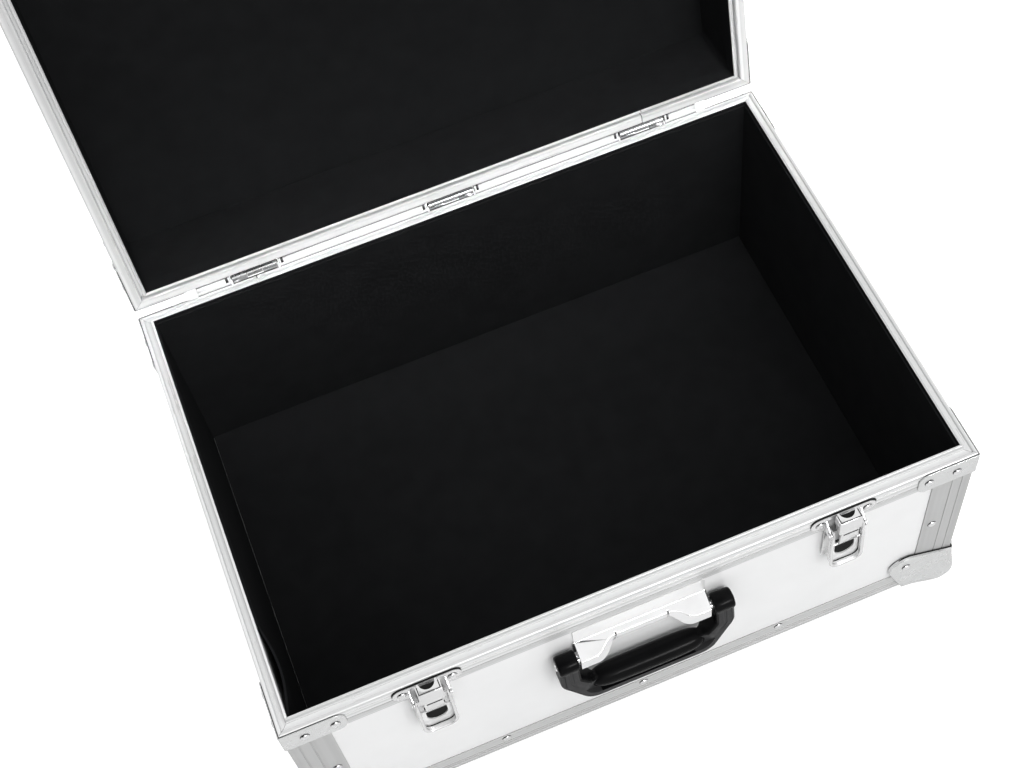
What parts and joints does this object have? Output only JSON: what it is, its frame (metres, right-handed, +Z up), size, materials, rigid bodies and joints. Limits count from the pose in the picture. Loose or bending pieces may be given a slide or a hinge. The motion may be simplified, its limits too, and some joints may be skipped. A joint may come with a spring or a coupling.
{
  "type": "flight case",
  "caption": "Flight case with white panels, aluminium edging, ball corners, hook latches and a front carrying handle; stored with its hinged lid open.",
  "frame": {"origin": "on the floor under the middle of the base", "axes": "+Z up, front with the latches and handle to -Y, right side to +X"},
  "size_m": [0.581, 0.5926, 0.6164],
  "materials": {
    "white_board": "smooth white laminate on board",
    "rim_aluminium": "anodised extrusion",
    "angle_aluminium": "brushed angle",
    "corner_steel": "pressed and plated",
    "rivet_metal": "domed head",
    "black_lining": "black short-nap lining",
    "strip_aluminium": "satin",
    "hinge_steel": "plated",
    "handle_black": "moulded",
    "handle_chrome": "polished",
    "spring_steel": "spring strip",
    "latch_chrome": "polished"
  },
  "bodies": {
    "base": {"base_back_panel": "white_board", "base_ball_corners": "corner_steel", "base_bottom_angles": "angle_aluminium", "base_bottom_panel": "white_board", "base_bracket_rivets": "rivet_metal", "base_corner_rivets": "rivet_metal", "base_edging_rivets": "rivet_metal", "base_floor_lining": "black_lining", "base_front_panel": "white_board", "base_hinge_rivets": "rivet_metal", "base_left_panel": "white_board", "base_right_panel": "white_board", "base_rim_back": "rim_aluminium", "base_rim_brackets": "corner_steel", "base_rim_front": "rim_aluminium", "base_rim_left": "rim_aluminium", "base_rim_right": "rim_aluminium", "base_upright_angles": "angle_aluminium", "base_wall_lining": "black_lining", "handle_pins": "handle_chrome", "handle_plate": "handle_chrome", "handle_plate_rivets": "rivet_metal", "hinge_base_leaves": "hinge_steel", "hinge_gap_strip": "strip_aluminium", "hinge_pins": "hinge_steel", "latch_lever_pins": "latch_chrome", "latch_plate_left": "latch_chrome", "latch_plate_right": "latch_chrome", "latch_plate_rivets": "rivet_metal", "latch_springs": "spring_steel"},
    "lid": {"hinge_lid_leaves": "hinge_steel", "latch_strikes": "latch_chrome", "lid_back_panel": "white_board", "lid_ball_corners": "corner_steel", "lid_bracket_rivets": "rivet_metal", "lid_corner_rivets": "rivet_metal", "lid_edging_rivets": "rivet_metal", "lid_front_panel": "white_board", "lid_hardware_rivets": "rivet_metal", "lid_left_panel": "white_board", "lid_right_panel": "white_board", "lid_rim_back": "rim_aluminium", "lid_rim_brackets": "corner_steel", "lid_rim_front": "rim_aluminium", "lid_rim_left": "rim_aluminium", "lid_rim_right": "rim_aluminium", "lid_top_angles": "angle_aluminium", "lid_top_lining": "black_lining", "lid_top_panel": "white_board", "lid_upright_angles": "angle_aluminium", "lid_wall_lining": "black_lining"},
    "handle": {"handle_grip": "handle_black"},
    "latch_lever_left": {"latch_hook_pin_left": "latch_chrome", "latch_lever_left": "latch_chrome"},
    "latch_hook_left": {"latch_hook_left": "latch_chrome"},
    "latch_lever_right": {"latch_hook_pin_right": "latch_chrome", "latch_lever_right": "latch_chrome"},
    "latch_hook_right": {"latch_hook_right": "latch_chrome"}
  },
  "joints": [
    {"name": "lid_hinge", "type": "hinge", "parent": "base", "child": "lid", "pos_m": [0, 0.2044, 0.216], "axis": [1, 0, 0], "range_deg": [0, 101.2]},
    {"name": "handle_swing", "type": "hinge", "parent": "base", "child": "handle", "pos_m": [0, -0.2095, 0.156], "axis": [-1, 0, 0], "range_deg": [0, 95]},
    {"name": "latch_lever_left_swing", "type": "hinge", "parent": "base", "child": "latch_lever_left", "pos_m": [-0.171, -0.2086, 0.193], "axis": [-1, 0, 0], "range_deg": [-3.5, 95]},
    {"name": "latch_hook_left_turn", "type": "hinge", "parent": "latch_lever_left", "child": "latch_hook_left", "pos_m": [-0.171, -0.2097, 0.175], "axis": [-1, 0, 0], "range_deg": [-95, 3.5]},
    {"name": "latch_lever_right_swing", "type": "hinge", "parent": "base", "child": "latch_lever_right", "pos_m": [0.171, -0.2086, 0.193], "axis": [-1, 0, 0], "range_deg": [-3.5, 95]},
    {"name": "latch_hook_right_turn", "type": "hinge", "parent": "latch_lever_right", "child": "latch_hook_right", "pos_m": [0.171, -0.2097, 0.175], "axis": [-1, 0, 0], "range_deg": [-95, 3.5]}
  ],
  "couplings": [
    {"joint": "latch_hook_left_turn", "follows": "latch_lever_left_swing", "ratio": -1},
    {"joint": "latch_hook_right_turn", "follows": "latch_lever_right_swing", "ratio": -1}
  ]
}
